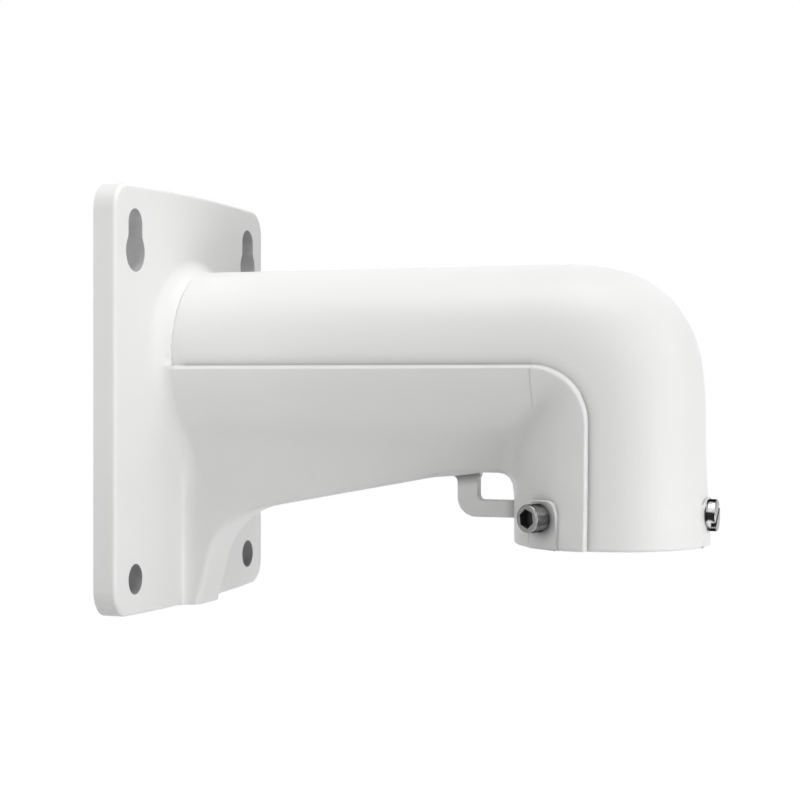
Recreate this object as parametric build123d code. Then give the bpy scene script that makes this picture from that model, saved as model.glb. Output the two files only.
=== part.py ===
from build123d import *
import os
from math import atan2, cos, pi, radians, sin, sqrt

# A cast wall bracket for a dome camera: a plate that screws to the wall, a hollow arm, an elbow and
# a short tube that takes the camera's neck, held by three lock screws.
# Sizes are in millimetres. +X points out from the wall, +Z points up, and the origin is the middle of
# the plate's back face.

# Wall plate
PLATE_HEIGHT = 140.0
PLATE_WIDTH = 121.0
PLATE_THICKNESS = 8.0
PLATE_EDGE_RISE = 1.4
PLATE_CORNER_RADIUS = 9.0
PLATE_FRONT_ROUND = 1.3

# Recess in the back of the plate
PLATE_SKIN = 4.0
PLATE_RIM_WIDTH = 5.0
HOLE_BOSS_WALL = 3.5
MOUTH_RING_WALL = 5.0

# Wall fixing holes: plain holes below, keyholes above
HOLE_FROM_SIDE = 14.0
HOLE_FROM_BOTTOM = 11.25
KEYHOLE_FROM_TOP = 12.25
HOLE_DIAMETER = 10.0
KEYHOLE_HEAD_DIAMETER = 13.5
KEYHOLE_DROP = 9.1
KEYHOLE_WAIST_ROUND = 3.0

# Arm: a pipe with a keel below it
ARM_AXIS_Z = 14.3
ARM_RADIUS_AT_WALL = 29.7
ARM_RADIUS_AT_BEND = 30.1
KEEL_WIDTH = 18.0
KEEL_BLEND_RADIUS = 25.0
KEEL_EDGE_ROUND = 2.6
FLARE_LENGTH = 6.0
FLARE_SIDE = 7.0
FLARE_TOP = 5.0
FLARE_KEEL = 2.4

# Underside of the keel in side view, from the foot on the plate to the tube
FOOT_REACH = 5.3
KNEE_X = 22.1
KNEE_Z = -40.0
KNEE_RADIUS = 25.0
SLOPE_END_X = 98.1
SLOPE_END_Z = -25.8
SLOPE_END_RADIUS = 12.0
KEEL_TUBE_Z = -23.0

# Elbow and outlet tube
TUBE_AXIS_X = 156.5
BEND_RADIUS = 19.2
ELBOW_BULGE = 4.4
TUBE_RADIUS = 30.3
RIM_RADIUS = 32.0
RIM_Z = -46.8
RIM_ROUND = 1.1
INNER_CORNER_RADIUS = 8.0

# Raised skin on the inner side of the arm and tube, and the ledge where it ends
RAISE = 2.0
LEDGE_Z = 11.0
LEDGE_INSIDE_TUBE_AXIS = 1.3
LEDGE_CORNER_RADIUS = 18.0
LEDGE_ROUND = 1.0

# Cable way inside
ARM_WALL = 5.0
TUBE_WALL = 4.3
NECK_SOCKET_DEPTH = 24.0

# Pocket that hollows the keel and foot from behind
KEEL_WALL = 3.6
KEEL_POCKET_BOTTOM_Z = -60.0
KEEL_POCKET_END_X = 88.0

# Safety hook: a thin plate in the middle plane with an eye
HOOK_THICKNESS = 4.0
HOOK_FRONT_X = 104.6
HOOK_BOTTOM_Z = -39.1
HOOK_ARM_WIDTH = 7.3
HOOK_BAR_HEIGHT = 5.8
HOOK_OUTER_RADIUS = 6.5
HOOK_EYE_RADIUS = 1.6
HOOK_ROOT_ROUND = 2.0
HOOK_EDGE_ROUND = 0.6

# Lock screws round the tube
SCREW_Z = -36.8
SCREW_ANGLES = {"lock_screw_front": 0.0, "lock_screw_left": 240.0, "lock_screw_right": 120.0}
SLOTTED_SCREWS = ("lock_screw_front",)
SCREW_SHANK_DIAMETER = 5.0
SCREW_HOLE_CLEARANCE = 0.1
SCREW_TIP_INSET = 0.5
PAD_HALF_WIDTH = 7.6
PAD_TOP_ABOVE_SCREW = 5.6
PAD_CORNER_RADIUS = 5.0
PAD_PROUD = 0.6
PAD_EDGE_ROUND = 0.5
SOCKET_HEAD_DIAMETER = 9.0
SOCKET_HEAD_HEIGHT = 5.0
SOCKET_ACROSS_FLATS = 4.0
SOCKET_RECESS_DEPTH = 2.6
SLOTTED_HEAD_DIAMETER = 10.0
SLOTTED_HEAD_HEIGHT = 4.2
SLOT_WIDTH = 1.4
SLOT_DEPTH = 1.9
SLOT_TURN = 40.0
HEAD_EDGE_ROUND = 0.5

# Worked out from the sizes above
BEND_X = TUBE_AXIS_X - BEND_RADIUS
BEND_Z = ARM_AXIS_Z - BEND_RADIUS
FLARE_END_X = PLATE_THICKNESS + FLARE_LENGTH
LEDGE_X = TUBE_AXIS_X - LEDGE_INSIDE_TUBE_AXIS
PLATE_BOTTOM_Z = -PLATE_HEIGHT / 2 - PLATE_EDGE_RISE
KEEL_HALF = KEEL_WIDTH / 2
LOW_Z = PLATE_BOTTOM_Z - PLATE_THICKNESS
HIGH_Z = PLATE_HEIGHT
FAR_X = TUBE_AXIS_X + PLATE_WIDTH
WIDE = PLATE_WIDTH
NECK_SOCKET_RADIUS = TUBE_RADIUS - TUBE_WALL
SEAT_CORE_WALL = TUBE_WALL / 2
TOUCH = 0.01


def arm_radius(x):
    """Radius of the upper pipe at a distance from the wall."""
    share = x / BEND_X
    return ARM_RADIUS_AT_WALL + (ARM_RADIUS_AT_BEND - ARM_RADIUS_AT_WALL) * share


def tube_radius(z):
    """Radius of the outlet tube at a height: it widens along an arc to its rim."""
    drop = (BEND_Z - z) / (BEND_Z - RIM_Z)
    return TUBE_RADIUS + (RIM_RADIUS - TUBE_RADIUS) * drop**2


def plane_across_arm(x):
    """A plane across the arm whose own x and y run along Y and Z."""
    return Plane(origin=(x, 0, 0), x_dir=(0, 1, 0), z_dir=(1, 0, 0))


def side_slab(face, half_width):
    """A solid made by pushing a face drawn as (x, z) out to both sides."""
    return extrude(Plane.XZ * face, amount=half_width, both=True)


def side_place(point):
    """A point of the model as (x, z) in the side view."""
    return Vector(point.X, point.Z, 0)


def samples(edge):
    """Three points along an edge, clear of its ends."""
    return [edge.position_at(share) for share in (0.05, 0.5, 0.95)]


def plate_face(inset=0.0):
    """The plate's outline: straight sides, gently arched top and bottom, round corners."""
    y = PLATE_WIDTH / 2 - inset
    z = PLATE_HEIGHT / 2 - inset
    top = ThreePointArc((-y, z), (0, z + PLATE_EDGE_RISE), (y, z))
    right = Line((y, z), (y, -z))
    bottom = ThreePointArc((y, -z), (0, -z - PLATE_EDGE_RISE), (-y, -z))
    left = Line((-y, -z), (-y, z))
    face = make_face(Curve() + [top, right, bottom, left])
    return fillet(face.vertices(), PLATE_CORNER_RADIUS - inset)


def arm_section(x, side, top, keel_half):
    """The arm's closed outline at x, with its keel running down past the plate.

    side is the half width at the axis, top the height above the axis, keel_half half the keel's width.
    """
    reach = side + KEEL_BLEND_RADIUS
    blend_y = keel_half + KEEL_BLEND_RADIUS
    blend_z = ARM_AXIS_Z - sqrt(reach**2 - blend_y**2)
    touch_y = blend_y * side / reach
    touch_z = ARM_AXIS_Z - (ARM_AXIS_Z - blend_z) * side / reach
    middle = (atan2(touch_z - blend_z, touch_y - blend_y) % (2 * pi) + pi) / 2
    mid_y = blend_y + KEEL_BLEND_RADIUS * cos(middle)
    mid_z = blend_z + KEEL_BLEND_RADIUS * sin(middle)
    turn = atan2(ARM_AXIS_Z - touch_z, touch_y) / 2
    side_y = side * cos(turn)
    side_z = ARM_AXIS_Z - side * sin(turn)
    edges = [
        EllipticalCenterArc((0, ARM_AXIS_Z), side, top, 0, arc_size=180),
        ThreePointArc((-side, ARM_AXIS_Z), (-side_y, side_z), (-touch_y, touch_z)),
        ThreePointArc((-touch_y, touch_z), (-mid_y, mid_z), (-keel_half, blend_z)),
        Line((-keel_half, blend_z), (-keel_half, LOW_Z)),
        Line((-keel_half, LOW_Z), (keel_half, LOW_Z)),
        Line((keel_half, LOW_Z), (keel_half, blend_z)),
        ThreePointArc((keel_half, blend_z), (mid_y, mid_z), (touch_y, touch_z)),
        ThreePointArc((touch_y, touch_z), (side_y, side_z), (side, ARM_AXIS_Z)),
    ]
    return plane_across_arm(x) * make_face(Curve() + edges)


def flare_section(angle):
    """The flare's outline at one angle of its hollow quarter circle: 0 at the arm, 90 at the plate."""
    spread = 1 - cos(radians(angle))
    side = arm_radius(FLARE_END_X) + RAISE + FLARE_SIDE * spread
    top = arm_radius(FLARE_END_X) - TOUCH + FLARE_TOP * spread
    x = FLARE_END_X - FLARE_LENGTH * sin(radians(angle))
    return arm_section(x, side, top, KEEL_HALF + FLARE_KEEL * spread)


def underside_line():
    """The keel's underside in side view, as (x, z)."""
    lean = (KNEE_X - PLATE_THICKNESS - FOOT_REACH) / (KNEE_Z - PLATE_BOTTOM_Z)
    below = 2 * PLATE_BOTTOM_Z
    start = (KNEE_X + lean * (below - KNEE_Z), below)
    rise = (KEEL_TUBE_Z - SLOPE_END_Z) / (TUBE_AXIS_X - SLOPE_END_X)
    end = (FAR_X, SLOPE_END_Z + rise * (FAR_X - SLOPE_END_X))
    points = [start, (KNEE_X, KNEE_Z), (SLOPE_END_X, SLOPE_END_Z), end]
    return FilletPolyline(*points, radius=[KNEE_RADIUS, SLOPE_END_RADIUS])


def above_underside():
    """Everything above the keel's underside."""
    line = underside_line()
    start, end = line @ 0, line @ 1
    back_x = -PLATE_THICKNESS
    back = Polyline(end, (end.X, HIGH_Z), (back_x, HIGH_Z), (back_x, start.Y), start)
    return side_slab(make_face(Curve() + [line, back]), WIDE)


def ledge_face():
    """The inner side of the ledge in side view, as (x, z): below the arm's ledge, left of the tube's."""
    corner = (LEDGE_X, LEDGE_Z)
    low_z = 2 * PLATE_BOTTOM_Z
    back_x = -PLATE_THICKNESS
    points = [
        (FLARE_END_X, HIGH_Z),
        (FLARE_END_X, LEDGE_Z),
        corner,
        (LEDGE_X, low_z),
        (back_x, low_z),
        (back_x, HIGH_Z),
    ]
    face = make_face(Polyline(*points, close=True))
    near = face.vertices().sort_by_distance(Vector(*corner))[0]
    return fillet(near, LEDGE_CORNER_RADIUS)


def arm_below():
    """The arm's lower half with its keel, foot and the flare where it leaves the plate."""
    flare = loft([flare_section(angle) for angle in (0, 22.5, 45, 67.5, 90)])
    root = extrude(flare_section(90), amount=-PLATE_THICKNESS / 2)
    start = flare_section(0)
    end_radius = arm_radius(TUBE_AXIS_X)
    end = arm_section(TUBE_AXIS_X, end_radius + RAISE, end_radius, KEEL_HALF)
    arm = loft([start, end], ruled=True)
    solid = (root + flare + arm) & above_underside()
    line = underside_line()
    low_edges = [edge for edge in solid.edges() if along_keel(edge, line)]
    solid = fillet(low_edges, KEEL_EDGE_ROUND)
    outline = extrude(plane_across_arm(0) * plate_face(), amount=FAR_X)
    return solid & outline


def along_keel(edge, line):
    """Whether an edge runs along one side of the keel's underside."""
    points = samples(edge)
    on_line = all(line.distance_to(side_place(point)) < TOUCH for point in points)
    return on_line and abs(points[1].Y) > KEEL_HALF / 2


def tube_profile(raise_by):
    """Half the tube's section as (radius, z), widening to its rounded rim."""
    top = TUBE_RADIUS + raise_by
    rim = RIM_RADIUS + raise_by
    middle_z = (BEND_Z + RIM_Z) / 2
    wall = ThreePointArc((top, BEND_Z), (tube_radius(middle_z) + raise_by, middle_z), (rim, RIM_Z))
    lines = Polyline((rim, RIM_Z), (0, RIM_Z), (0, BEND_Z), (top, BEND_Z))
    face = make_face(Curve() + [wall, lines])
    return fillet(face.vertices().sort_by_distance(Vector(rim, RIM_Z))[0], RIM_ROUND)


def tube_solid(raise_by):
    """The outlet tube as a solid of revolution about its own upright axis."""
    face = Plane(origin=(TUBE_AXIS_X, 0, 0), x_dir=(1, 0, 0), z_dir=(0, -1, 0)) * tube_profile(raise_by)
    return revolve(face, axis=Axis((TUBE_AXIS_X, 0, 0), (0, 0, 1)))


def tube_below():
    """The tube at the raised skin's radius, carried on up into the arm."""
    top = Plane(origin=(TUBE_AXIS_X, 0, BEND_Z))
    upper = Solid.make_cylinder(TUBE_RADIUS + RAISE, ARM_AXIS_Z - BEND_Z, top)
    return tube_solid(RAISE) + upper


def bend_skin():
    """The raised skin round the inside of the bend, which joins the arm's to the tube's."""
    section = Pos(BEND_RADIUS, 0) * Circle(TUBE_RADIUS + RAISE)
    outer_half = Pos(2 * BEND_RADIUS, 0) * Rectangle(4 * BEND_RADIUS, 4 * TUBE_RADIUS)
    upright = Plane(origin=(BEND_X, 0, BEND_Z), x_dir=(0, 0, 1), z_dir=(1, 0, 0))
    across = Axis((BEND_X, 0, BEND_Z), (0, 1, 0))
    return revolve(upright * (section & outer_half), axis=across, revolution_arc=90)


def in_valley(edge, ledge_wire):
    """Whether an edge lies in the valley between the arm's skin and the tube's."""
    for point in samples(edge):
        out = sqrt((point.X - TUBE_AXIS_X) ** 2 + point.Y**2)
        radius = TUBE_RADIUS if point.Z > BEND_Z else tube_radius(point.Z)
        if abs(out - radius - RAISE) > 5 * TOUCH or point.Z < RIM_Z + 2 * RIM_ROUND:
            return False
    return ledge_wire.distance_to(side_place(samples(edge)[1])) > 1


def on_ledge(edge, ledge_wire):
    """Whether an edge is one of the long outer edges of the ledge."""
    points = samples(edge)
    on_line = all(ledge_wire.distance_to(side_place(point)) < TOUCH for point in points)
    beyond_flare = points[1].X > FLARE_END_X + TOUCH
    return on_line and beyond_flare and abs(points[1].Y) > TUBE_RADIUS / 2


def raised_skin():
    """The lower and inner side of the bracket, which stands a little proud of the pipe."""
    face = ledge_face()
    wire = face.face().outer_wire()
    inside = side_slab(face, WIDE)
    skin = (arm_below() & inside) + (tube_below() & inside)
    valley = [edge for edge in skin.edges() if in_valley(edge, wire)]
    skin = fillet(valley, INNER_CORNER_RADIUS) + (bend_skin() & inside)
    ledge = [edge for edge in skin.edges() if on_ledge(edge, wire)]
    return fillet(ledge, LEDGE_ROUND)


def half_ellipse(side, out):
    """The upper half of an ellipse round the origin, side wide each way and out high, out the larger."""
    return Rot(0, 0, 90) * EllipticalCenterArc((0, 0), out, side, 270, arc_size=180)


def elbow_section(angle, inset):
    """The outer half of the pipe at one angle round the elbow: 0 at the arm, 90 at the tube.

    Halfway round, the elbow swells outwards.
    """
    swell = sin(radians(2 * angle)) ** 2
    radius = ARM_RADIUS_AT_BEND + (TUBE_RADIUS - ARM_RADIUS_AT_BEND) * angle / 90 - inset
    inward = BEND_RADIUS / 2
    lines = Polyline((-radius, 0), (-radius, -inward), (radius, -inward), (radius, 0))
    face = make_face(Curve() + [half_ellipse(radius, radius + ELBOW_BULGE * swell), lines])
    away = Vector(sin(radians(angle)), 0, cos(radians(angle)))
    ahead = Vector(cos(radians(angle)), 0, -sin(radians(angle)))
    centre = Vector(BEND_X, 0, BEND_Z) + away * BEND_RADIUS
    return Plane(origin=centre, x_dir=(0, 1, 0), z_dir=ahead) * face


def elbow_solid(inset=0.0):
    """The outer side of the elbow, inset for the cable way inside it."""
    return loft([elbow_section(angle, inset) for angle in range(0, 91, 15)])


def pipe():
    """The plain pipe: arm, elbow and tube at the lower of the two skins."""
    along = Plane(origin=(0, 0, ARM_AXIS_Z), z_dir=(1, 0, 0))
    arm = Solid.make_cone(ARM_RADIUS_AT_WALL, ARM_RADIUS_AT_BEND, BEND_X, along)
    return arm + elbow_solid() + tube_solid(0)


def under_keel(x):
    """Height of the keel's underside between the slope's end and the tube."""
    rise = (KEEL_TUBE_Z - SLOPE_END_Z) / (TUBE_AXIS_X - SLOPE_END_X)
    return SLOPE_END_Z + rise * (x - SLOPE_END_X)


def hook_outline():
    """The hook's outer outline as (x, z), with a strip that runs up into the keel."""
    end_x = TUBE_AXIS_X - TUBE_RADIUS + SEAT_CORE_WALL
    root_x = HOOK_FRONT_X - 3 * HOOK_ROOT_ROUND
    strip_z = KEEL_TUBE_Z + KEEL_WALL / 2
    corner = (HOOK_FRONT_X, HOOK_BOTTOM_Z)
    root = (HOOK_FRONT_X, under_keel(HOOK_FRONT_X))
    points = [
        (root_x, strip_z),
        (root_x, under_keel(root_x)),
        root,
        corner,
        (end_x, HOOK_BOTTOM_Z),
        (end_x, strip_z),
    ]
    face = make_face(Polyline(*points, close=True))
    face = fillet(face.vertices().sort_by_distance(Vector(*corner))[0], HOOK_OUTER_RADIUS)
    return fillet(face.vertices().sort_by_distance(Vector(*root))[0], HOOK_ROOT_ROUND)


def hook_eye():
    """The eye's outline as (x, z), open into the tube's side."""
    front_x = HOOK_FRONT_X + HOOK_ARM_WIDTH
    low_z = HOOK_BOTTOM_Z + HOOK_BAR_HEIGHT
    end_x = TUBE_AXIS_X - TUBE_RADIUS
    points = [
        (front_x, under_keel(front_x)),
        (front_x, low_z),
        (end_x, low_z),
        (end_x, under_keel(end_x)),
    ]
    face = make_face(Polyline(*points, close=True))
    return fillet(face.vertices().group_by(Axis.X)[0], HOOK_EYE_RADIUS)


def hook():
    """The safety hook: a thin plate with an eye, closed above by the keel and behind by the tube."""
    plate = side_slab(hook_outline(), HOOK_THICKNESS / 2) - side_slab(hook_eye(), HOOK_THICKNESS)
    sides = plate.faces().sort_by(Axis.Y)
    return fillet(sides[0].edges() + sides[-1].edges(), HOOK_EDGE_ROUND)


def screw_plane(angle, distance):
    """A plane facing out from the tube at a screw, its own y up, at a distance from the tube's axis."""
    outward = Vector(cos(radians(angle)), sin(radians(angle)), 0)
    along = Vector(-sin(radians(angle)), cos(radians(angle)), 0)
    return Plane(origin=Vector(TUBE_AXIS_X, 0, SCREW_Z) + outward * distance, x_dir=along, z_dir=outward)


def pad_distance(angle):
    """How far a screw's pad stands from the tube's axis: further out on the raised skin."""
    raised = RAISE if cos(radians(angle)) < 0 else 0
    return tube_radius(SCREW_Z) + raised + PAD_PROUD


def pad(angle):
    """The flat arched seat under a lock screw's head, which runs down to the rim."""
    low = RIM_Z - SCREW_Z
    top = PAD_TOP_ABOVE_SCREW
    half = PAD_HALF_WIDTH
    face = make_face(Polyline((-half, low), (half, low), (half, top), (-half, top), close=True))
    face = fillet(face.vertices().group_by(Axis.Y)[-1], PAD_CORNER_RADIUS)
    depth = pad_distance(angle) - NECK_SOCKET_RADIUS - SEAT_CORE_WALL
    outer = screw_plane(angle, pad_distance(angle))
    block = extrude(outer * face, amount=-depth)
    return fillet(block.faces().sort_by_distance(outer.origin)[0].edges(), PAD_EDGE_ROUND)


def cable_way():
    """The way through the bracket, from the plate's back to the neck socket."""
    along = Plane(origin=(-1, 0, ARM_AXIS_Z), z_dir=(1, 0, 0))
    wall_end = ARM_RADIUS_AT_WALL - ARM_WALL
    bend_end = ARM_RADIUS_AT_BEND - ARM_WALL
    arm = Solid.make_cone(wall_end, bend_end, BEND_X + 1, along)
    inner = TUBE_RADIUS - ARM_WALL
    socket_top_z = RIM_Z + NECK_SOCKET_DEPTH
    tube = Solid.make_cylinder(inner, BEND_Z - socket_top_z, Plane(origin=(TUBE_AXIS_X, 0, socket_top_z)))
    drop = NECK_SOCKET_DEPTH + 1
    socket = Solid.make_cylinder(NECK_SOCKET_RADIUS, drop, Plane(origin=(TUBE_AXIS_X, 0, RIM_Z - 1)))
    corner = Solid.make_cylinder(inner, BEND_RADIUS, Plane(origin=(TUBE_AXIS_X, 0, BEND_Z)))
    return arm + elbow_solid(ARM_WALL) + tube + socket + corner


def keel_pocket():
    """The pocket that hollows the keel and the foot, open at the back and into the cable way."""
    height = ARM_AXIS_Z - KEEL_POCKET_BOTTOM_Z
    length = KEEL_POCKET_END_X + 1
    centre = (KEEL_POCKET_END_X - length / 2, 0, ARM_AXIS_Z - height / 2)
    block = Pos(*centre) * Box(length, KEEL_WIDTH - 2 * KEEL_WALL, height)
    return block & (Pos(-KEEL_WALL, 0, KEEL_WALL) * above_underside())


def back_recess():
    """The shallow recess in the plate's back, round a rim, the bosses and a ring at the cable way."""
    depth = PLATE_THICKNESS - PLATE_SKIN
    recess = extrude(plane_across_arm(-1) * plate_face(PLATE_RIM_WIDTH), amount=depth + 1)
    ring_radius = ARM_RADIUS_AT_WALL - ARM_WALL + MOUTH_RING_WALL
    ring = Plane(origin=(0, 0, ARM_AXIS_Z), x_dir=(0, 1, 0), z_dir=(1, 0, 0)) * Circle(ring_radius)
    keel_height = ARM_AXIS_Z - KEEL_POCKET_BOTTOM_Z + KEEL_WALL
    keel = Pos(0, ARM_AXIS_Z - keel_height / 2) * Rectangle(KEEL_WIDTH, keel_height)
    kept = extrude(ring, amount=depth + 1) + extrude(plane_across_arm(0) * keel, amount=depth + 1)
    return recess - (Pos(-1, 0, 0) * kept) - fixing_holes(HOLE_BOSS_WALL)


def keyhole_face(grow):
    """A keyhole round the centre of its slot's upper end, with the corners at its waist eased."""
    slot_radius = HOLE_DIAMETER / 2 + grow
    head_radius = KEYHOLE_HEAD_DIAMETER / 2 + grow
    slot = Pos(0, -KEYHOLE_DROP / 2) * Rectangle(2 * slot_radius, KEYHOLE_DROP)
    face = Circle(slot_radius) + slot + Pos(0, -KEYHOLE_DROP) * Circle(head_radius)
    waist_y = sqrt(head_radius**2 - slot_radius**2) - KEYHOLE_DROP
    corners = [v for v in face.vertices() if abs(v.Y - waist_y) < TOUCH]
    return fillet(corners, KEYHOLE_WAIST_ROUND)


def fixing_holes(grow=0.0):
    """The four wall fixing holes through the plate, or the outlines of their bosses if grown."""
    across = PLATE_WIDTH / 2 - HOLE_FROM_SIDE
    low_z = HOLE_FROM_BOTTOM - PLATE_HEIGHT / 2
    high_z = PLATE_HEIGHT / 2 - KEYHOLE_FROM_TOP
    faces = []
    for y in (-across, across):
        faces.append(Pos(y, low_z) * Circle(HOLE_DIAMETER / 2 + grow))
        faces.append(Pos(y, high_z) * keyhole_face(grow))
    through = [extrude(plane_across_arm(-1) * face, amount=PLATE_THICKNESS + 2) for face in faces]
    return Part() + through


def rounded_plate():
    """The wall plate with its front outline rounded."""
    plate = extrude(plane_across_arm(0) * plate_face(), amount=PLATE_THICKNESS)
    front = plate.faces().sort_by(Axis.X)[-1]
    return fillet(front.edges(), PLATE_FRONT_ROUND)


def casting():
    """The whole bracket body, cast in one piece."""
    solid = rounded_plate() + raised_skin() + pipe() + hook()
    for angle in SCREW_ANGLES.values():
        solid += pad(angle)
    solid -= cable_way()
    solid -= keel_pocket()
    solid -= back_recess()
    solid -= fixing_holes()
    hole = SCREW_SHANK_DIAMETER / 2 + SCREW_HOLE_CLEARANCE
    for angle in SCREW_ANGLES.values():
        solid -= extrude(screw_plane(angle, 0) * Circle(hole), amount=TUBE_AXIS_X)
    return solid


def screw_blank(angle, head_radius, head_height):
    """A lock screw's head and shank, seated on its pad, its tip just short of the socket."""
    seat = pad_distance(angle)
    head = extrude(screw_plane(angle, seat) * Circle(head_radius), amount=head_height)
    rim = head.edges().filter_by(GeomType.CIRCLE).sort_by_distance(Vector(TUBE_AXIS_X, 0, SCREW_Z))[-1]
    head = fillet(rim, HEAD_EDGE_ROUND)
    length = seat - NECK_SOCKET_RADIUS - SCREW_TIP_INSET
    shank = extrude(screw_plane(angle, seat) * Circle(SCREW_SHANK_DIAMETER / 2), amount=-length)
    return head + shank


def slotted_screw(angle):
    """A cheese head lock screw with a straight slot."""
    screw = screw_blank(angle, SLOTTED_HEAD_DIAMETER / 2, SLOTTED_HEAD_HEIGHT)
    top = screw_plane(angle, pad_distance(angle) + SLOTTED_HEAD_HEIGHT)
    slot = Rot(0, 0, SLOT_TURN) * Rectangle(SLOTTED_HEAD_DIAMETER + 2, SLOT_WIDTH)
    return screw - extrude(top * slot, amount=-SLOT_DEPTH)


def socket_screw(angle):
    """A cap screw with a six-sided socket."""
    screw = screw_blank(angle, SOCKET_HEAD_DIAMETER / 2, SOCKET_HEAD_HEIGHT)
    top = screw_plane(angle, pad_distance(angle) + SOCKET_HEAD_HEIGHT)
    key = RegularPolygon(SOCKET_ACROSS_FLATS / 2, 6, major_radius=False)
    return screw - extrude(top * key, amount=-SOCKET_RECESS_DEPTH)


def write(name, solid):
    """Write one piece to its own file."""
    export_step(solid, os.path.join("parts", name + ".step"))


os.makedirs("parts", exist_ok=True)
write("bracket_body", casting())
for name, angle in SCREW_ANGLES.items():
    screw = slotted_screw(angle) if name in SLOTTED_SCREWS else socket_screw(angle)
    write(name, screw)
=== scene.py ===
import bmesh
import bpy
from math import atan2, cos, pi, radians, sin, sqrt
from mathutils import Matrix, Vector


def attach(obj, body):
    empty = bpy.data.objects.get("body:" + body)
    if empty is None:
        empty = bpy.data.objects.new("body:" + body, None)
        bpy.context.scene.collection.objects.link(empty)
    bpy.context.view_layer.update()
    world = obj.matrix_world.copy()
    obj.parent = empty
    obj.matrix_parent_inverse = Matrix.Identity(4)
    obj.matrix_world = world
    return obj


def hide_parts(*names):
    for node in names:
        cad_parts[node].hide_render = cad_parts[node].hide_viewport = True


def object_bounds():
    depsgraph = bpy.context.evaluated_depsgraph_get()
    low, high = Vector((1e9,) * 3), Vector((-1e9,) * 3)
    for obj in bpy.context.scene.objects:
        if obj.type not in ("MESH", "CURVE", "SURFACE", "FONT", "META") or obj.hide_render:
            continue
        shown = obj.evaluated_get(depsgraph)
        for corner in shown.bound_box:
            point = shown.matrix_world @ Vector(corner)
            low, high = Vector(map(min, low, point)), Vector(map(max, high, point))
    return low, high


# The camera wall bracket as it looks: its casting and screws, the floor, the lamps and the camera.
# Lengths are in metres unless a name says otherwise.

# Camera, as in the photograph
CAMERA_PLACE = (0.27778, -0.58407, 0.00646)
CAMERA_TURN_DEG = 18.37
CAMERA_LENS_MM = 81.8
SENSOR_WIDTH_MM = 36.0
CAMERA_SHIFT_Y = -0.0249
CAMERA_NEAREST = 0.01
CAMERA_FARTHEST = 50.0

# Floor and backdrop: the glow is lowest under the bracket and reaches its highest farther out
FLOOR_DROP = 0.25
FLOOR_SIZE = 8.0
FLOOR_COLOUR = (0.80, 0.80, 0.80, 1.0)
WHITE = (1.0, 1.0, 1.0, 1.0)
GLOW = (0.78, 1.0)
GLOW_REACH = (0.25, 0.90)

# Lamps: where each stands, what it faces, its size and its power in watts
WORLD_LIGHT = 0.0
LAMPS = {
    "top": ((0.09, -0.05, 0.85), (0.09, 0, 0), (0.9, 0.9), 2.88),
    "top_back": ((0.09, 0.55, 0.65), (0.09, 0, 0), (0.9, 0.6), 0.68),
    "right": ((0.95, -0.05, 0.15), (0.08, 0, 0), (0.7, 0.7), 2.60),
    "right_front": ((0.80, -0.55, 0.25), (0.08, 0, 0), (0.6, 0.6), 0.92),
    "right_low": ((0.85, -0.25, -0.20), (0.05, 0, -0.02), (0.5, 0.25), 2.24),
    "top_near_plate": ((0.10, -0.10, 0.45), (0.03, 0, 0), (0.3, 0.3), 1.04),
    "near_plate_low": ((0.28, -0.35, -0.25), (0.02, 0, -0.02), (0.25, 0.25), 0.08),
    "plate_front": ((0.02, -0.34, 0.08), (0.01, -0.06, 0), (0.2, 0.2), 0.24),
    "plate_left": ((-0.16, -0.30, 0.02), (0, -0.06, 0), (0.2, 0.2), 0.22),
}

# Noise, and the sockets of a colour mix
NOISE_DETAIL = 2.0
NOISE_SPAN = (0.3, 0.7)
UNIT_SPAN = (0.0, 1.0)
MIX_SHARE = 0
MIX_FIRST = 6
MIX_SECOND = 7
MIX_RESULT = 2

# Powder coat, with a painted shade in creases beyond the flare
COAT_COLOUR = (0.80, 0.80, 0.795, 1.0)
COAT_COLOUR_WORN = (0.775, 0.775, 0.77, 1.0)
COAT_ROUGHNESS = (0.34, 0.42)
COAT_GLOSS = 0.30
COAT_CLOUD_SCALE = 22.0
COAT_GRAIN_SCALE = 900.0
COAT_GRAIN_DEPTH = 0.000012
# The colour that the coat is darkened to in creases: painted shade.
CREASE_SHADE_COLOUR = (0.24, 0.24, 0.238, 1.0)
CREASE_SAMPLES = 12
CREASE_REACH = 0.0045
CREASE_OPENNESS = (0.52, 0.98)
CREASE_START_X = (0.0145, 0.0185)

# Walls of the wall holes, coloured with painted shade, deeper in the lower holes
# These two colours are painted shade, darker in the lower holes than in the keyholes.
KEYHOLE_WALL_SHADE_COLOUR = (0.42, 0.42, 0.42, 1.0)
BOLT_HOLE_WALL_SHADE_COLOUR = (0.26, 0.26, 0.26, 1.0)
HOLE_PATCH_SCALE = 300.0
HOLE_PATCH_PALER = 1.5
HOLE_WALL_ROUGHNESS = (0.5, 0.7)
HOLE_WALL_FACING = 0.6
HOLE_Y = 0.0465
HOLE_HALF_WIDTH = 0.0072
KEYHOLE_Z = (0.0410, 0.0640)
BOLT_HOLE_Z = (-0.0645, -0.0530)
KEYHOLE_MATERIAL = 1
BOLT_HOLE_MATERIAL = 2

# The casting's form, as in the solid
PLATE_THICKNESS = 0.008
ARM_AXIS_Z = 0.0143
PIPE_RADIUS_AT_WALL = 0.0297
PIPE_RADIUS_AT_END = 0.0301
PIPE_END_X = 0.1373
FLARE_END_X = 0.014
RAISE = 0.002
LEDGE_Z = 0.011
LEDGE_X = 0.1552
TUBE_AXIS_X = 0.1565
TUBE_TOP_Z = -0.0049
TUBE_RADIUS = 0.0303
RIM_RADIUS = 0.0320
RIM_Z = -0.0468
PAD_TOP_Z = -0.0309

# How near counts as the same place, and the angle from which an edge is kept
NEAR = 0.00002
PIPE_MARGIN = 10 * NEAR
WELD = 0.000002
SHARP_ANGLE = radians(30)

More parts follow.
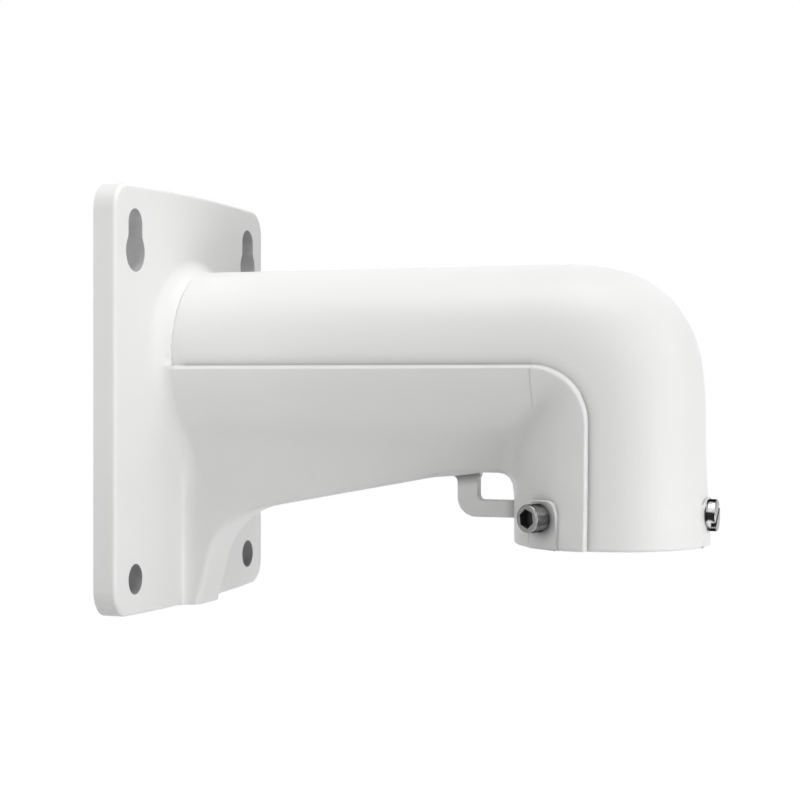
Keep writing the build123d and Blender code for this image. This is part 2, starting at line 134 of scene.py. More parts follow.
# The flare's end: how it is drawn down to the pipe, joined up, and set back where it stands clear
FLARE_FADE_X = 0.0080
FLARE_FADE_RISE = 0.0025
FLARE_LIP = 0.00001
FLARE_WELD = 0.0003
FLARE_SET_BACK = 0.0012
FLARE_CLEAR = (0.00015, 0.0005)

# The tube's inner skin: the round it is drawn in to, and where that fades
SKIN_AXIS_X = 0.15875
SKIN_RADIUS = 0.0339
SKIN_FADE_Z = (-0.022, -0.030)
SKIN_FADE_OUT = 0.006
SKIN_FACING = (0.05, 0.45)
SKIN_BACK_FACING = -0.5

# The ledge's foot: how its edges are told from others, and how far they move
LEDGE_CORNER = radians(50)
LEDGE_INNER_Y = 0.02
LEDGE_MARGIN_X = 0.002
LEDGE_MARGIN_Z = 0.001
LEDGE_BEND_Z = -0.015
LEDGE_BEND_X = 0.150
LEDGE_WALL_FACING = 0.5
LEDGE_PIPE_FACING = 0.7
LEDGE_UPWARD = 0.5
LEDGE_WIDEN_ARM = 0.0004
LEDGE_WIDEN_TUBE = 0.0002

# The hollow between keel and tube: its round in the solid, the tighter one, and the underside by it
VALLEY_X = 0.1155
VALLEY_END_X = 0.130
VALLEY_Z = -0.033
VALLEY_RADIUS = 0.008
VALLEY_NEW_RADIUS = 0.004
VALLEY_RAISE = 0.0010
VALLEY_DEPTH = (-0.001, 0.0005, 0.004)
UNDERSIDE_X = (0.085, 0.106)
UNDERSIDE_Z = (-0.0255, -0.0235, -0.0190)
SKIN_RADIUS_LOW = 0.033

# The screws' pads
PAD_NARROWING = 0.0010
PAD_SLOPE = (0.0048, 0.0072)
PAD_SIDE_DROP = 0.0004
PAD_FACE_FROM_AXIS = 0.0330
PAD_SIDE = (0.0050, 0.0074, 0.0105)
FRONT_PAD_SLOPE = (0.0048, 0.0076)
FRONT_PAD_DROP = 0.0017
FRONT_PAD_X = 0.1872
FRONT_PAD_HALF = 0.0085
FRONT_PAD_SINK = 0.0005
FRONT_PAD_FACE_X = 0.18838

# Stainless steel: a head's side has painted reflections, bands of tones from one edge to the other
STEEL_COLOUR = (0.22, 0.219, 0.217, 1.0)
STEEL_ROUGHNESS = (0.16, 0.30)
STEEL_STREAK_SCALE = 1500.0
SOCKET_SIDE_REFLECTION_TONES = (0.10, 0.34, 0.12)
SLOTTED_SIDE_REFLECTION_TONES = (0.03, 0.62, 0.02)
SIDE_REFLECTION_BANDS = (0.09, 0.18, 0.30, 0.37, 0.60, 0.67, 0.83, 0.92)
SIDE_BAND_REACH = 0.0053
SIDE_BAND_WANDER = (-0.04, 0.04)
SIDE_WANDER_SCALE = 420.0
SIDE_EDGE_TINT = (0.25, 0.25, 0.25, 1.0)
# Inside sockets and slots: a near-black painted shade.
RECESS_SHADE_COLOUR = (0.012, 0.012, 0.012, 1.0)
RECESS_ROUGHNESS = (0.45, 0.70)
RECESS_ROUGHNESS_SCALE = 1200.0
RECESS_MATERIAL = 1
SIDE_MATERIAL = 2

# Screws
SCREW_Z = -0.0368
SCREW_ANGLES = {"lock_screw_left": 240.0, "lock_screw_right": 120.0}
FRONT_SCREW_ANGLE = 0.0
LATHE_TURNS = 96
SHANK_RADIUS = 0.0025
SHANK_TIP_FROM_AXIS = 0.0265
HEAD_EASE = 0.0005
EASE_ANGLES_DEG = (0, 22.5, 45, 67.5, 90)
UNDERCUT = 0.00025
SOCKET_SEAT = 0.03385
SOCKET_HEAD_RADIUS = 0.0045
SOCKET_HEAD_HEIGHT = 0.0058
SOCKET_CORNERS_DEG = (0, 60, 120, 180, 240, 300)
SOCKET_ACROSS_FLATS = 0.0055
SOCKET_DEPTH = 0.0030
SOCKET_TURN_DEG = 38.0
SLOTTED_SEAT = 0.0314
SLOTTED_HEAD_RADIUS = 0.00515
SLOTTED_HEAD_HEIGHT = 0.0031
SLOT_WIDTH = 0.0016
SLOT_DEPTH = 0.0016
SLOT_TURN_DEG = 34.0


def new_material(name):
    """A node material, its nodes and links, and its shader, with no texture yet."""
    material = bpy.data.materials.new(name)
    material.use_nodes = True
    nodes = material.node_tree.nodes
    return material, nodes, material.node_tree.links, nodes["Principled BSDF"]


def own_place(nodes):
    """Where a spot lies in its object's own coordinates."""
    return nodes.new("ShaderNodeTexCoord").outputs["Object"]


def part_of(nodes, links, vector, axis):
    """A vector's part along one axis."""
    parts = nodes.new("ShaderNodeSeparateXYZ")
    links.new(vector, parts.inputs["Vector"])
    return parts.outputs[axis]


def worked_out(nodes, links, operation, *values):
    """One value worked out from others."""
    step = nodes.new("ShaderNodeMath")
    step.operation = operation
    for socket, value in zip(step.inputs, values):
        links.new(value, socket)
    return step.outputs["Value"]


def ranged(nodes, links, value, source, target=UNIT_SPAN):
    """Maps a value from one range to another, and holds it at the ends."""
    step = nodes.new("ShaderNodeMapRange")
    for name, end in zip(("From Min", "From Max", "To Min", "To Max"), source + target):
        step.inputs[name].default_value = end
    links.new(value, step.inputs["Value"])
    return step.outputs["Result"]


def noise(nodes, links, scale):
    """A noise texture in the object's own coordinates."""
    texture = nodes.new("ShaderNodeTexNoise")
    texture.inputs["Scale"].default_value = scale
    texture.inputs["Detail"].default_value = NOISE_DETAIL
    links.new(own_place(nodes), texture.inputs["Vector"])
    return texture.outputs["Fac"]


def mixed(nodes, links, share, first, second):
    """Mixes two colours by a share; the first is a colour or comes from a node."""
    mix = nodes.new("ShaderNodeMix")
    mix.data_type = "RGBA"
    links.new(share, mix.inputs[MIX_SHARE])
    if isinstance(first, tuple):
        mix.inputs[MIX_FIRST].default_value = first
    else:
        links.new(first, mix.inputs[MIX_FIRST])
    mix.inputs[MIX_SECOND].default_value = second
    return mix.outputs[MIX_RESULT]


def roughen(nodes, links, shader, texture, roughness):
    """Lets a material's roughness wander within a range, by a noise texture."""
    links.new(ranged(nodes, links, texture, NOISE_SPAN, roughness), shader.inputs["Roughness"])


def grain(nodes, links, scale, depth):
    """A fine bump from noise."""
    bump = nodes.new("ShaderNodeBump")
    bump.inputs["Distance"].default_value = depth
    links.new(noise(nodes, links, scale), bump.inputs["Height"])
    return bump.outputs["Normal"]


def closed_in(nodes, links):
    """1 deep in a crease and 0 in the open: where the painted shade goes."""
    openness = nodes.new("ShaderNodeAmbientOcclusion")
    openness.samples = CREASE_SAMPLES
    openness.inputs["Distance"].default_value = CREASE_REACH
    return ranged(nodes, links, openness.outputs["AO"], CREASE_OPENNESS, (1.0, 0.0))


def crease_shaded(nodes, links, colour):
    """Darkens the foot of a ledge with painted shade, on faces turned sideways beyond the flare's end.
    """
    facing = nodes.new("ShaderNodeNewGeometry").outputs["Normal"]
    sideways = worked_out(nodes, links, "ABSOLUTE", part_of(nodes, links, facing, "Y"))
    beyond = ranged(nodes, links, part_of(nodes, links, own_place(nodes), "X"), CREASE_START_X)
    amount = closed_in(nodes, links)
    for factor in (sideways, beyond):
        amount = worked_out(nodes, links, "MULTIPLY", amount, factor)
    return mixed(nodes, links, amount, colour, CREASE_SHADE_COLOUR)


def powder_coat():
    """Smooth semi-gloss white paint with a faint orange peel, and painted shade in creases."""
    material, nodes, links, shader = new_material("white_powder_coat")
    clouds = noise(nodes, links, COAT_CLOUD_SCALE)
    coat_tint = mixed(nodes, links, clouds, COAT_COLOUR, COAT_COLOUR_WORN)
    # The base colour is darkened in creases by painted shade.
    links.new(crease_shaded(nodes, links, coat_tint), shader.inputs["Base Color"])
    roughen(nodes, links, shader, clouds, COAT_ROUGHNESS)
    shader.inputs["Specular IOR Level"].default_value = COAT_GLOSS
    links.new(grain(nodes, links, COAT_GRAIN_SCALE, COAT_GRAIN_DEPTH), shader.inputs["Normal"])
    return material


def stainless():
    """Turned stainless steel."""
    material, nodes, links, shader = new_material("stainless_steel")
    shader.inputs["Base Color"].default_value = STEEL_COLOUR
    shader.inputs["Metallic"].default_value = 1.0
    roughen(nodes, links, shader, noise(nodes, links, STEEL_STREAK_SCALE), STEEL_ROUGHNESS)
    return material


def banded(nodes, links, level, tones):
    """Bands of grey for a painted reflection: dark edges, two pale bands and a core between them."""
    dark, pale, core = tones
    levels = (dark, pale, pale, core, core, pale, pale, dark)
    ramp = nodes.new("ShaderNodeValToRGB")
    stops = ramp.color_ramp.elements
    middle = 0.5
    while len(stops) < len(levels):
        stops.new(middle)
    for stop, position, tone in zip(stops, SIDE_REFLECTION_BANDS, levels):
        stop.position = position
        stop.color = (tone, tone, tone, 1.0)
    links.new(level, ramp.inputs["Fac"])
    return ramp.outputs["Color"]


def reflection_banded_side(name, tones):
    """The side of a screw's head, with pale and dark bands of painted reflection along it."""
    material, nodes, links, shader = new_material(name)
    height = part_of(nodes, links, own_place(nodes), "Z")
    level = ranged(nodes, links, height, (SCREW_Z - SIDE_BAND_REACH, SCREW_Z + SIDE_BAND_REACH))
    wander = ranged(nodes, links, noise(nodes, links, SIDE_WANDER_SCALE), NOISE_SPAN, SIDE_BAND_WANDER)
    moved = worked_out(nodes, links, "ADD", level, wander)
    links.new(banded(nodes, links, moved, tones), shader.inputs["Base Color"])
    shader.inputs["Metallic"].default_value = 1.0
    shader.inputs["Specular Tint"].default_value = SIDE_EDGE_TINT
    roughen(nodes, links, shader, noise(nodes, links, STEEL_STREAK_SCALE), STEEL_ROUGHNESS)
    return material


def hole_wall(name, colour):
    """The wall of a hole, dull, its colour a painted shade, with paler patches at random."""
    material, nodes, links, shader = new_material(name)
    patches = noise(nodes, links, HOLE_PATCH_SCALE)
    paler = tuple(min(1.0, HOLE_PATCH_PALER * part) for part in colour[:3]) + (1.0,)
    links.new(mixed(nodes, links, patches, colour, paler), shader.inputs["Base Color"])
    roughen(nodes, links, shader, patches, HOLE_WALL_ROUGHNESS)
    return material


def recess_steel():
    """The inside of a screw's socket or slot, near black with painted shade."""
    material, nodes, links, shader = new_material("recess_steel")
    shader.inputs["Base Color"].default_value = RECESS_SHADE_COLOUR
    roughen(nodes, links, shader, noise(nodes, links, RECESS_ROUGHNESS_SCALE), RECESS_ROUGHNESS)
    return material


def give(mesh, materials):
    """Gives a mesh its materials in place of those it had."""
    mesh.materials.clear()
    for material in materials:
        mesh.materials.append(material)


def seen_or_mirrored(nodes, links):
    """1 for rays from the camera and for rays seen in a gloss or through glass, 0 for light."""
    path = nodes.new("ShaderNodeLightPath")
    most = path.outputs["Is Camera Ray"]
    for name in ("Is Glossy Ray", "Is Transmission Ray"):
        most = worked_out(nodes, links, "MAXIMUM", most, path.outputs[name])
    return most


def floor_glow(nodes, links):
    """White far from the bracket, and a little less under it, so that its shadow shows."""
    away = nodes.new("ShaderNodeVectorMath")
    away.operation = "LENGTH"
    links.new(own_place(nodes), away.inputs[0])
    glow = ranged(nodes, links, away.outputs["Value"], GLOW_REACH, GLOW)
    return worked_out(nodes, links, "MULTIPLY", seen_or_mirrored(nodes, links), glow)


def floor_material():
    """A pale floor that looks white and still shows the object's shadow."""
    material, nodes, links, shader = new_material("floor")
    shader.inputs["Base Color"].default_value = FLOOR_COLOUR
    shader.inputs["Roughness"].default_value = 1.0
    shader.inputs["Specular IOR Level"].default_value = 0.0
    shader.inputs["Emission Color"].default_value = WHITE
    links.new(floor_glow(nodes, links), shader.inputs["Emission Strength"])
    return material


def make_floor(level):
    """The floor, well below the bracket, which hangs on its wall."""
    bpy.ops.mesh.primitive_plane_add(size=FLOOR_SIZE, location=(0, 0, level))
    floor = bpy.context.object
    floor.name = "floor"
    floor.data.materials.append(floor_material())


def make_world(light):
    """An even surround: white to the camera and in mirrors, and of a set strength as a light."""
    world = bpy.data.worlds.new("studio")
    bpy.context.scene.world = world
    world.use_nodes = True
    nodes, links = world.node_tree.nodes, world.node_tree.links
    background = nodes["Background"]
    background.inputs["Color"].default_value = WHITE
    strength = ranged(nodes, links, seen_or_mirrored(nodes, links), UNIT_SPAN, (light, 1.0))
    links.new(strength, background.inputs["Strength"])


def lamp(name, place, aim, size, watts):
    """A soft area lamp that points at a spot."""
    light = bpy.data.lights.new(name, "AREA")
    light.shape = "RECTANGLE"
    light.size, light.size_y = size
    light.energy = watts
    lamp_object = bpy.data.objects.new(name, light)
    lamp_object.location = place
    direction = Vector(aim) - Vector(place)
    lamp_object.rotation_euler = direction.to_track_quat("-Z", "Y").to_euler()
    bpy.context.collection.objects.link(lamp_object)


def make_camera():
    """The camera at the photograph's viewing angle."""
    data = bpy.data.cameras.new("camera")
    data.lens = CAMERA_LENS_MM
    data.sensor_width = SENSOR_WIDTH_MM
    data.shift_y = CAMERA_SHIFT_Y
    data.clip_start = CAMERA_NEAREST
    data.clip_end = CAMERA_FARTHEST
    camera = bpy.data.objects.new("camera", data)
    camera.location = CAMERA_PLACE
    camera.rotation_euler = (pi / 2, 0, radians(CAMERA_TURN_DEG))
    bpy.context.collection.objects.link(camera)
    bpy.context.scene.camera = camera


def share_between(value, start, end):
    """0 before start, 1 after end, and a smooth rise between them."""
    share = min(1.0, max(0.0, (value - start) / (end - start)))
    return share * share * (3 - 2 * share)


def mark_sharp(form):
    """Smooth faces, with an edge kept only where two faces meet at a clear angle."""
    for face in form.faces:
        face.smooth = True
    for edge in form.edges:
        edge.smooth = len(edge.link_faces) == 2 and edge.calc_face_angle() < SHARP_ANGLE


def as_object(form, name):
    """Makes an object of a form, and frees the form."""
    mesh = bpy.data.meshes.new(name)
    form.to_mesh(mesh)
    form.free()
    piece = bpy.data.objects.new(name, mesh)
    bpy.context.collection.objects.link(piece)
    return piece


def apply_modifier(piece, kind, **values):
    """Adds a modifier to a piece and applies it."""
    modifier = piece.modifiers.new("step", kind)
    for name, value in values.items():
        setattr(modifier, name, value)
    bpy.context.view_layer.objects.active = piece
    bpy.ops.object.modifier_apply(modifier="step")


def pipe_radius(x):
    """The arm's radius at a distance from the wall."""
    share = x / PIPE_END_X
    return PIPE_RADIUS_AT_WALL + (PIPE_RADIUS_AT_END - PIPE_RADIUS_AT_WALL) * share


def tube_radius(z):
    """The tube's radius at a height; it widens to its rim."""
    drop = (TUBE_TOP_Z - z) / (TUBE_TOP_Z - RIM_Z)
    return TUBE_RADIUS + (RIM_RADIUS - TUBE_RADIUS) * drop**2


def flare_height(point):
    """How far the flare stands above the pipe where it ends, at a point's angle round the arm."""
    pipe = pipe_radius(FLARE_END_X)
    side, top = pipe + RAISE, pipe
    away = Vector((point.y, point.z - ARM_AXIS_Z))
    across, up = away.normalized()
    return 1 / sqrt((across / side) ** 2 + (up / top) ** 2) - pipe


def at_flare_end(vert):
    """Whether a vertex lies on the line where the flare meets the pipe."""
    return abs(vert.co.x - FLARE_END_X) < NEAR and vert.co.z > LEDGE_Z


def soften_flare_end(form):
    """Draws the flare's last stretch down to the pipe, so that the two meet without a step."""
    for vert in form.verts:
        point = vert.co
        away = Vector((0, point.y, point.z - ARM_AXIS_Z))
        proud = away.length - pipe_radius(point.x)
        height = flare_height(point) - FLARE_LIP
        on_flare = FLARE_FADE_X < point.x < FLARE_END_X + NEAR and point.z > LEDGE_Z + NEAR
        if on_flare and height > 0 and proud > height / 2:
            share = (point.x - FLARE_FADE_X) / (FLARE_END_X - FLARE_FADE_X)
            share *= share_between(point.z, LEDGE_Z, LEDGE_Z + FLARE_FADE_RISE)
            vert.co -= away.normalized() * height * share
    ends = [vert for vert in form.verts if at_flare_end(vert)]
    bmesh.ops.remove_doubles(form, verts=ends, dist=FLARE_WELD)


def smooth_flare_end(form):
    """Lets light run over the line where the flare meets the pipe."""
    for edge in form.edges:
        if all(at_flare_end(vert) for vert in edge.verts):
            edge.smooth = True


def set_back_flare(form):
    """Moves the line where the flare ends towards the wall, except where it lies flush on top."""
    for vert in form.verts:
        point = vert.co
        away = Vector((point.y, point.z - ARM_AXIS_Z)).length
        outside = away > pipe_radius(point.x) - PIPE_MARGIN
        if outside and abs(point.x - FLARE_END_X) < NEAR and point.z > LEDGE_Z - RAISE:
            clear = 1.0 if point.z < ARM_AXIS_Z else share_between(flare_height(point), *FLARE_CLEAR)
            vert.co.x -= FLARE_SET_BACK * clear


def skin_share(reach, pipe, along, z):
    """How much of its move a point of the tube's inner skin makes."""
    share = 1.0 if along.x < SKIN_BACK_FACING else share_between(reach, pipe, pipe + RAISE)
    share *= 1 - share_between(reach, pipe + 2 * RAISE, pipe + RAISE + SKIN_FADE_OUT)
    share *= share_between(-z, -SKIN_FADE_Z[0], -SKIN_FADE_Z[1])
    return share * share_between(-along.x, *SKIN_FACING)


def slim_tube_skin(form):
    """Draws the tube's inner skin in to an upright round set forward of the tube's own axis."""
    forward = SKIN_AXIS_X - TUBE_AXIS_X
    for vert in form.verts:
        point = vert.co
        away = Vector((point.x - TUBE_AXIS_X, point.y))
        reach, pipe = away.length, tube_radius(point.z)
        on_skin = point.x <= LEDGE_X + NEAR and point.z <= SKIN_FADE_Z[0]
        if on_skin and pipe - RAISE <= reach <= pipe + RAISE + SKIN_FADE_OUT:
            along = away.normalized()
            offset = forward * along.x
            target = offset + sqrt(offset**2 + SKIN_RADIUS**2 - forward**2)
            move = along * (target - pipe - RAISE) * skin_share(reach, pipe, along, point.z)
            vert.co.x += move.x
            vert.co.y += move.y


def is_ledge_foot(edge):
    """Whether an edge is a hollow corner where the ledge runs."""
    if len(edge.link_faces) != 2 or edge.is_convex or edge.calc_face_angle() < LEDGE_CORNER:
        return False
    x, y, z = (edge.verts[0].co + edge.verts[1].co) / 2
    if abs(y) < LEDGE_INNER_Y or not FLARE_END_X - NEAR < x < LEDGE_X + LEDGE_MARGIN_X:
        return False
    return z <= LEDGE_Z + LEDGE_MARGIN_Z and (z >= LEDGE_BEND_Z or x >= LEDGE_BEND_X)


def ledge_way(edge):
    """The way out of the ledge along the pipe's face, or None at an edge of other faces."""
    wall, pipe = sorted(edge.link_faces, key=lambda face: abs(face.normal.y))
    if abs(wall.normal.y) > LEDGE_WALL_FACING or abs(pipe.normal.y) < LEDGE_PIPE_FACING:
        return None
    along = wall.normal - pipe.normal * wall.normal.dot(pipe.normal)
    return along.normalized()


def widen_ledge(form):
    """Moves the foot of the ledge outwards, so that its face leans and shows wider."""
    form.normal_update()
    moves = {}
    for edge in form.edges:
        way = ledge_way(edge) if is_ledge_foot(edge) else None
        if way is not None:
            for vert in edge.verts:
                moves[vert] = moves.get(vert, Vector()) + way
    for vert, along in moves.items():
        way = along.normalized()
        vert.co += way * (LEDGE_WIDEN_ARM if way.z > LEDGE_UPWARD else LEDGE_WIDEN_TUBE)


def valley_place(share):
    """A point along the tighter and higher valley, as (x, z)."""
    straight = VALLEY_RADIUS - VALLEY_NEW_RADIUS
    drop = straight + VALLEY_RAISE
    arc = pi / 2 * VALLEY_NEW_RADIUS
    run = share * (straight + arc + drop)
    top_z = VALLEY_Z + VALLEY_RADIUS + VALLEY_RAISE
    if run < straight:
        return VALLEY_X + run, top_z
    if run < straight + arc:
        turn = (run - straight) / VALLEY_NEW_RADIUS
        x = VALLEY_X + straight + VALLEY_NEW_RADIUS * sin(turn)
        return x, top_z - VALLEY_NEW_RADIUS * (1 - cos(turn))
    return VALLEY_X + VALLEY_RADIUS, VALLEY_Z + straight + arc + drop - run


def tighten_round(vert, local_x, local_z):
    """Moves a point of the valley's round to the tighter one, and less the deeper it lies."""
    outermost, full, deepest = VALLEY_DEPTH
    into = sqrt(local_x**2 + local_z**2) - VALLEY_RADIUS
    if outermost <= into <= deepest:
        share = atan2(local_x, local_z) / (pi / 2)
        goal_x, goal_z = valley_place(share)
        fade = 1 - share_between(into, full, deepest)
        vert.co.x += fade * (goal_x - VALLEY_X - VALLEY_RADIUS * sin(share * pi / 2))
        vert.co.z += fade * (goal_z - VALLEY_Z - VALLEY_RADIUS * cos(share * pi / 2))


def tighten_valley(form):
    """Lifts the keel's underside by the hook and tightens the hollow where it meets the tube."""
    low_z, full_z, top_z = UNDERSIDE_Z
    for vert in form.verts:
        point = vert.co
        if not VALLEY_Z <= point.z <= top_z or not UNDERSIDE_X[0] < point.x < VALLEY_END_X:
            continue
        round_tube = SKIN_RADIUS_LOW - sqrt(max(0.0, SKIN_RADIUS_LOW**2 - point.y**2))
        local_x = point.x - round_tube - VALLEY_X
        if local_x > 0:
            tighten_round(vert, local_x, point.z - VALLEY_Z)
        elif point.z > low_z:
            fade = 1 - share_between(point.z, full_z, top_z)
            vert.co.z += VALLEY_RAISE * fade * share_between(point.x, *UNDERSIDE_X)


def pad_move(away, out, side):
    """How a point of a side pad moves: towards its screw, and on its flat face towards the tube."""
    start, top, end = PAD_SIDE
    across = away.dot(side)
    if not start < abs(across) < end:
        return Vector((0, 0))
    rise = share_between(abs(across), start, top) * (1 - share_between(abs(across), top, end))
    move = side * PAD_NARROWING * rise * (-1 if across > 0 else 1)
    if away.dot(out) > PAD_FACE_FROM_AXIS:
        move -= out * PAD_SIDE_DROP * share_between(abs(across), *PAD_SLOPE)
    return move


def narrow_side_pads(form):
    """Draws the two side pads' edges a little towards their screws, and lowers them."""
    for angle in SCREW_ANGLES.values():
        out = Vector((cos(radians(angle)), sin(radians(angle))))
        side = Vector((-out.y, out.x))
        for vert in form.verts:
            away = Vector((vert.co.x - TUBE_AXIS_X, vert.co.y))
            if vert.co.z <= PAD_TOP_Z and away.dot(out) >= TUBE_RADIUS:
                move = pad_move(away, out, side)
                vert.co.x += move.x
                vert.co.y += move.y


def sink_front_pad(form):
    """Sets the flat face of the front screw's pad a little lower."""
    for vert in form.verts:
        on_pad = abs(vert.co.y) < FRONT_PAD_HALF and RIM_Z + NEAR < vert.co.z < PAD_TOP_Z + NEAR
        if on_pad and vert.co.x > FRONT_PAD_FACE_X:
            vert.co.x -= FRONT_PAD_SINK * (1 - share_between(abs(vert.co.y), *FRONT_PAD_SLOPE))


def slope_front_pad(form):
    """Lowers the front pad's two sides nearly to the tube."""
    for vert in form.verts:
        point = vert.co
        if point.x < FRONT_PAD_X or point.z > PAD_TOP_Z or abs(point.y) > FRONT_PAD_HALF:
            continue
        surface = TUBE_AXIS_X + sqrt(tube_radius(point.z) ** 2 - point.y**2)
        lower = point.x - FRONT_PAD_DROP * share_between(abs(point.y), *FRONT_PAD_SLOPE)
        vert.co.x = min(point.x, max(lower, surface))


def reshape(form):
    """Brings the solid's form closer to the photograph and marks its sharp edges."""
    soften_flare_end(form)
    slim_tube_skin(form)
    tighten_valley(form)
    widen_ledge(form)
    narrow_side_pads(form)
    sink_front_pad(form)
    slope_front_pad(form)
    form.normal_update()
    mark_sharp(form)
    smooth_flare_end(form)
    set_back_flare(form)


def paint_holes(mesh):
    """Gives the walls of the keyholes and of the lower holes their own materials of painted shade."""
    for face in mesh.polygons:
        x, y, z = face.center
        upright = abs(face.normal.x) < HOLE_WALL_FACING and 0 < x < PLATE_THICKNESS
        if upright and abs(abs(y) - HOLE_Y) < HOLE_HALF_WIDTH:
            if KEYHOLE_Z[0] < z < KEYHOLE_Z[1]:
                face.material_index = KEYHOLE_MATERIAL
            elif BOLT_HOLE_Z[0] < z < BOLT_HOLE_Z[1]:
                face.material_index = BOLT_HOLE_MATERIAL


def casting(node, materials):
    """The bracket's body: a copy of the solid's mesh, joined up and a little reshaped."""
    form = bmesh.new()
    form.from_mesh(node.data)
    bmesh.ops.remove_doubles(form, verts=form.verts, dist=WELD)
    reshape(form)
    piece = as_object(form, "casting")
    piece.matrix_world = node.matrix_world.copy()
    mesh = piece.data
    if "custom_normal" in mesh.attributes:
        mesh.attributes.remove(mesh.attributes["custom_normal"])
    give(mesh, materials)
    paint_holes(mesh)
    apply_modifier(piece, "WEIGHTED_NORMAL", keep_sharp=True, mode="FACE_AREA_WITH_ANGLE")
    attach(piece, "root")
    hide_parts("bracket_body")


def wall_between(form, low, high):
    """Faces between two outlines with as many points each."""
    count = len(low)
    for step in range(count):
        after = (step + 1) % count
        form.faces.new((low[step], low[after], high[after], high[step]))


def ring(form, radius, height):
    """A ring of points about z."""
    angles = [2 * pi * step / LATHE_TURNS for step in range(LATHE_TURNS)]
    return [form.verts.new((radius * cos(angle), radius * sin(angle), height)) for angle in angles]


def lathe(name, profile):
    """A turned solid about its own z, from its profile as (radius, height), both ends on the axis."""
    form = bmesh.new()
    rings = [ring(form, radius, height) for radius, height in profile[1:-1]]
    for low, high in zip(rings, rings[1:]):
        wall_between(form, low, high)
    form.faces.new(list(reversed(rings[0])))
    form.faces.new(rings[-1])
    return as_object(form, name)


def prism(corners, low, high, turn):
    """A straight prism along z over an outline of (x, y) corners."""
    form = bmesh.new()
    about = Matrix.Rotation(turn, 4, "Z")
    base = [form.verts.new(about @ Vector((x, y, low))) for x, y in corners]
    top = [form.verts.new(about @ Vector((x, y, high))) for x, y in corners]
    wall_between(form, base, top)
    form.faces.new(list(reversed(base)))
    form.faces.new(top)
    return as_object(form, "cutter")


def cut(piece, cutter):
    """Cuts one solid out of another."""
    apply_modifier(piece, "BOOLEAN", operation="DIFFERENCE", object=cutter, solver="EXACT")
    bpy.data.objects.remove(cutter)


def head_profile(radius, height, seat_from_axis):
    """A screw's half section: shank, seat, straight side and an eased outer edge."""
    ease = HEAD_EASE
    turns = [radians(angle) for angle in EASE_ANGLES_DEG]
    rounding = [(radius - ease * (1 - cos(turn)), height - ease + ease * sin(turn)) for turn in turns]
    tip = SHANK_TIP_FROM_AXIS - seat_from_axis
    shank = [(0, tip), (SHANK_RADIUS, tip), (SHANK_RADIUS, 0)]
    seat = [(radius - UNDERCUT, 0), (radius - UNDERCUT, UNDERCUT), (radius, 2 * UNDERCUT)]
    return shank + seat + rounding + [(0, height)]


def seat_matrix(angle, distance):
    """Where a screw sits: its own z runs out from the tube, its own y runs up."""
    out = Vector((cos(radians(angle)), sin(radians(angle)), 0))
    up = Vector((0, 0, 1))
    side = up.cross(out)
    place = Vector((TUBE_AXIS_X, 0, SCREW_Z)) + out * distance
    rows = Matrix((side, up, out)).transposed().to_4x4()
    return Matrix.Translation(place) @ rows


def paint_head(mesh, head_radius, head_height):
    """Gives a head's recess and its side their own materials."""
    for face in mesh.polygons:
        away, height = Vector(face.center[:2]).length, face.center.z
        if away < head_radius - 2 * HEAD_EASE and 0 < height < head_height - NEAR:
            face.material_index = RECESS_MATERIAL
        elif away > head_radius - HEAD_EASE and 0 < height < head_height - HEAD_EASE / 2:
            face.material_index = SIDE_MATERIAL


def finish_screw(piece, node_name, place, materials, head):
    """Paints a screw, puts it in its place and smooths it."""
    mesh = piece.data
    give(mesh, materials)
    paint_head(mesh, *head)
    mesh.transform(place)
    form = bmesh.new()
    form.from_mesh(mesh)
    mark_sharp(form)
    form.to_mesh(mesh)
    form.free()
    apply_modifier(piece, "WEIGHTED_NORMAL", keep_sharp=True)
    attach(piece, "root")
    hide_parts(node_name)


def socket_screw(node_name, angle, materials):
    """A cap screw with a six-sided socket."""
    head = (SOCKET_HEAD_RADIUS, SOCKET_HEAD_HEIGHT)
    piece = lathe(node_name + "_cap", head_profile(*head, SOCKET_SEAT))
    corner = SOCKET_ACROSS_FLATS / sqrt(3)
    turns = [radians(turn) for turn in SOCKET_CORNERS_DEG]
    corners = [(corner * cos(turn), corner * sin(turn)) for turn in turns]
    low = SOCKET_HEAD_HEIGHT - SOCKET_DEPTH
    cut(piece, prism(corners, low, 2 * SOCKET_HEAD_HEIGHT, radians(SOCKET_TURN_DEG)))
    finish_screw(piece, node_name, seat_matrix(angle, SOCKET_SEAT), materials, head)


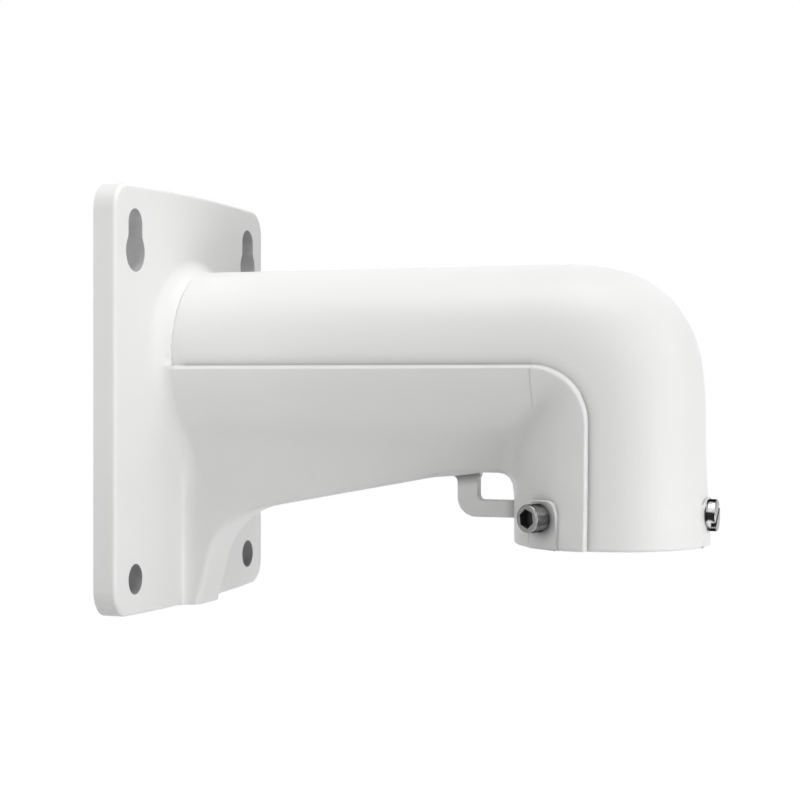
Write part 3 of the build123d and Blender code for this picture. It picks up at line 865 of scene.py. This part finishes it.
def slotted_screw(node_name, angle, materials):
    """A cheese head screw with a straight slot."""
    head = (SLOTTED_HEAD_RADIUS, SLOTTED_HEAD_HEIGHT)
    piece = lathe(node_name + "_cap", head_profile(*head, SLOTTED_SEAT))
    half, reach = SLOT_WIDTH / 2, 2 * SLOTTED_HEAD_RADIUS
    corners = [(-reach, -half), (reach, -half), (reach, half), (-reach, half)]
    low = SLOTTED_HEAD_HEIGHT - SLOT_DEPTH
    cut(piece, prism(corners, low, 2 * SLOTTED_HEAD_HEIGHT, radians(SLOT_TURN_DEG)))
    finish_screw(piece, node_name, seat_matrix(angle, SLOTTED_SEAT), materials, head)


def as_lists(box):
    """A box's corners as plain lists of numbers."""
    return [[float(value) for value in corner] for corner in box]


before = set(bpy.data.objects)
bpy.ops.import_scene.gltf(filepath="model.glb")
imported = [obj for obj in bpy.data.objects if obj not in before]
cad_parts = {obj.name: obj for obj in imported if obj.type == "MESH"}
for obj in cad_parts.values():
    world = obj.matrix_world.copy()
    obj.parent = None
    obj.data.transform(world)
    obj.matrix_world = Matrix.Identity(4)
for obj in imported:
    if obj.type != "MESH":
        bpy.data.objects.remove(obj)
cad_box = as_lists(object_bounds())
bpy.context.scene.view_settings.view_transform = "Standard"

coat = powder_coat()
steel = stainless()
recess = recess_steel()
# The hole walls' materials carry painted shade.
keyhole_wall = hole_wall("keyhole_wall", KEYHOLE_WALL_SHADE_COLOUR)
bolt_hole_wall = hole_wall("bolt_hole_wall", BOLT_HOLE_WALL_SHADE_COLOUR)
casting(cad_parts["bracket_body"], (coat, keyhole_wall, bolt_hole_wall))
# The sides of the screw heads carry painted reflections in bands.
socket_side = reflection_banded_side("socket_screw_side", SOCKET_SIDE_REFLECTION_TONES)
slotted_side = reflection_banded_side("slotted_screw_side", SLOTTED_SIDE_REFLECTION_TONES)
for name, angle in SCREW_ANGLES.items():
    socket_screw(name, angle, (steel, recess, socket_side))
slotted_screw("lock_screw_front", FRONT_SCREW_ANGLE, (steel, recess, slotted_side))
for name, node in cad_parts.items():
    give(node.data, (coat if name == "bracket_body" else steel,))

make_floor(cad_box[0][2] - FLOOR_DROP)
make_world(WORLD_LIGHT)
for name, values in LAMPS.items():
    lamp(name, *values)
make_camera()
